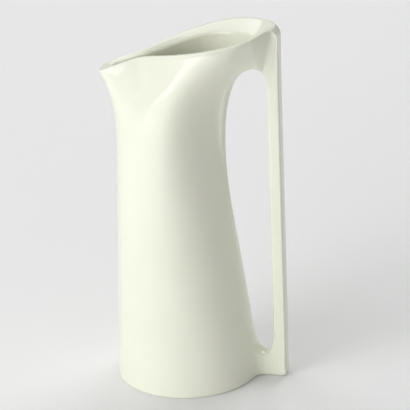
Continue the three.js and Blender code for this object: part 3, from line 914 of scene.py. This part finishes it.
# A material whose colour drifts between two tones, each with its place on the ramp. Its shader and its
# noise are returned too.
def clouded_material(name, scale, detail, tones):
    material = bpy.data.materials.new(name)
    material.use_nodes = True
    nodes, links = material.node_tree.nodes, material.node_tree.links
    shader = nodes["Principled BSDF"]
    place = nodes.new("ShaderNodeTexCoord")
    noise = nodes.new("ShaderNodeTexNoise")
    noise.inputs["Scale"].default_value = scale
    noise.inputs["Detail"].default_value = detail
    ramp = nodes.new("ShaderNodeValToRGB")
    for element, (position, colour) in zip(ramp.color_ramp.elements, tones):
        element.position = position
        element.color = (*colour, 1.0)
    links.new(place.outputs["Object"], noise.inputs["Vector"])
    links.new(noise.outputs["Fac"], ramp.inputs["Fac"])
    links.new(ramp.outputs["Color"], shader.inputs["Base Color"])
    return material, shader, noise


# Glaze: pale green-cream porcelain under a clear gloss, which varies a little too.
def glaze_material():
    tones = ((0.3, (0.80, 0.815, 0.69)), (0.7, (0.83, 0.842, 0.725)))
    material, shader, noise = clouded_material("celadon_glaze", scale=14.0, detail=3.0, tones=tones)
    shader.inputs["IOR"].default_value = 1.52
    gloss = material.node_tree.nodes.new("ShaderNodeMapRange")
    gloss.inputs["To Min"].default_value = 0.06
    gloss.inputs["To Max"].default_value = 0.13
    links = material.node_tree.links
    links.new(noise.outputs["Fac"], gloss.inputs["Value"])
    links.new(gloss.outputs["Result"], shader.inputs["Roughness"])
    return material


# Bare porcelain on the ring that the jug stands on.
def bare_material():
    tones = ((0.0, (0.70, 0.69, 0.64)), (1.0, (0.80, 0.79, 0.75)))
    material, shader, _ = clouded_material("bare_porcelain", scale=900.0, detail=2.0, tones=tones)
    shader.inputs["Roughness"].default_value = 0.75
    return material


def build_jug():
    points, faces, pieces, slots, edges, fixed = jug_surface()
    points = round_slot(flow_together(points, edges, fixed))
    whole = bpy.data.meshes.new("whole")
    whole.from_pydata([tuple(p) for p in points], [], faces)
    whole.update()
    normals = [tuple(n.vector) for n in whole.vertex_normals]
    bpy.data.meshes.remove(whole)
    materials = [glaze_material(), bare_material()]
    surface = (points, faces, pieces, slots)
    for number, (name, node, slot) in enumerate(PIECES):
        piece = make_piece(name, number, surface, normals, materials, node)


# Direction from the jug to a place at that azimuth and elevation in degrees; azimuth 0 is in front, at -Y.
def direction(azimuth, elevation):
    a = math.radians(azimuth)
    e = math.radians(elevation)
    return Vector((math.sin(a) * math.cos(e), -math.cos(a) * math.cos(e), math.sin(e)))


# Camera: a long lens, turned a little about its own axis. Angles are in degrees, places in metres and the
# lens and its sensor in millimetres.
CAMERA_AZIMUTH = 13.49
CAMERA_ELEVATION = 22.95
CAMERA_DISTANCE = 1.9
CAMERA_ROLL = 2.39
CAMERA_LENS = 255.5
SENSOR_WIDTH = 36.0
FARTHEST = 50.0
LOOK_POINT = Vector((-0.0085, 0.0, 0.120))
FRAME_RIGHT = 0.0150
FRAME_DOWN = 0.0021


def make_camera():
    azimuth = math.radians(CAMERA_AZIMUTH)
    roll = math.radians(CAMERA_ROLL)
    back = direction(CAMERA_AZIMUTH, CAMERA_ELEVATION)
    level = Vector((math.cos(azimuth), math.sin(azimuth), 0.0))
    upright = back.cross(level)
    right = math.cos(roll) * level - math.sin(roll) * upright
    up = math.sin(roll) * level + math.cos(roll) * upright
    spot = LOOK_POINT + CAMERA_DISTANCE * back
    aim = LOOK_POINT + FRAME_RIGHT * right - FRAME_DOWN * up
    back = (spot - aim).normalized()
    right = up.cross(back).normalized()
    up = back.cross(right)
    data = bpy.data.cameras.new("camera")
    data.lens = CAMERA_LENS
    data.sensor_width = SENSOR_WIDTH
    data.clip_end = FARTHEST
    camera = bpy.data.objects.new("camera", data)
    camera.matrix_world = Matrix((
        (right.x, up.x, back.x, spot.x), (right.y, up.y, back.y, spot.y),
        (right.z, up.z, back.z, spot.z), (0.0, 0.0, 0.0, 1.0),
    ))
    bpy.context.scene.collection.objects.link(camera)
    bpy.context.scene.camera = camera


# Floor and backdrop in metres: one pale sheet that sweeps up behind the jug.
STAGE_HALF_WIDTH = 6.0
STAGE_FRONT = 3.0
STAGE_BEND = 1.4
STAGE_RADIUS = 0.8
STAGE_HEIGHT = 4.0
STAGE_STEPS = 16
PAPER = 0.87


def make_stage():
    profile = [(-STAGE_FRONT, 0.0), (STAGE_BEND, 0.0)]
    for turn in quarter_turns(STAGE_STEPS)[1:]:
        profile.append((STAGE_BEND + STAGE_RADIUS * math.sin(turn), STAGE_RADIUS * (1.0 - math.cos(turn))))
    profile.append((STAGE_BEND + STAGE_RADIUS, STAGE_HEIGHT))
    points = [(side * STAGE_HALF_WIDTH, y, z) for y, z in profile for side in (-1.0, 1.0)]
    faces = [(2 * i, 2 * i + 1, 2 * i + 3, 2 * i + 2) for i in range(len(profile) - 1)]
    mesh = bpy.data.meshes.new("studio_floor")
    mesh.from_pydata(points, [], faces)
    mesh.polygons.foreach_set("use_smooth", [True] * len(faces))
    material = bpy.data.materials.new("studio_paper")
    material.use_nodes = True
    shader = material.node_tree.nodes["Principled BSDF"]
    shader.inputs["Base Color"].default_value = (PAPER, PAPER, PAPER, 1.0)
    shader.inputs["Roughness"].default_value = 0.6
    mesh.materials.append(material)
    floor = bpy.data.objects.new("studio_floor", mesh)
    bpy.context.scene.collection.objects.link(floor)


# Lamps: name, azimuth and elevation in degrees, distance, width and height in metres, power in watts.
LAMP_AIM = Vector((0.0, 0.0, 0.12))
LAMPS = (
    ("key_softbox", -28.5, 9.5, 1.8, 1.6, 0.9, 14.0),
    ("upper_left_softbox", -46.5, 33.0, 1.8, 1.3, 1.3, 12.5),
    ("left_softbox", -96.5, 38.0, 1.8, 1.3, 1.3, 2.0),
    ("right_fill", 48.5, 14.0, 1.8, 1.6, 1.2, 3.2),
    ("back_right_softbox", 163.5, 45.0, 2.0, 1.2, 1.2, 12.5),
    ("back_left_softbox", -136.5, 45.0, 2.0, 1.2, 1.2, 8.0),
)
WORLD_STRENGTH = 0.2


def make_lights():
    for name, azimuth, elevation, distance, width, height, power in LAMPS:
        data = bpy.data.lights.new(name, "AREA")
        data.shape = "RECTANGLE"
        data.size = width
        data.size_y = height
        data.energy = power
        lamp = bpy.data.objects.new(name, data)
        towards = direction(azimuth, elevation)
        lamp.location = LAMP_AIM + distance * towards
        lamp.rotation_euler = towards.to_track_quat("Z", "Y").to_euler()
        bpy.context.scene.collection.objects.link(lamp)
    world = bpy.data.worlds.new("studio")
    world.use_nodes = True
    background = world.node_tree.nodes["Background"]
    background.inputs["Color"].default_value = (1.0, 1.0, 1.0, 1.0)
    background.inputs["Strength"].default_value = WORLD_STRENGTH
    bpy.context.scene.world = world


bpy.context.scene.view_settings.view_transform = "Standard"
make_camera()
build_jug()
make_stage()
make_lights()
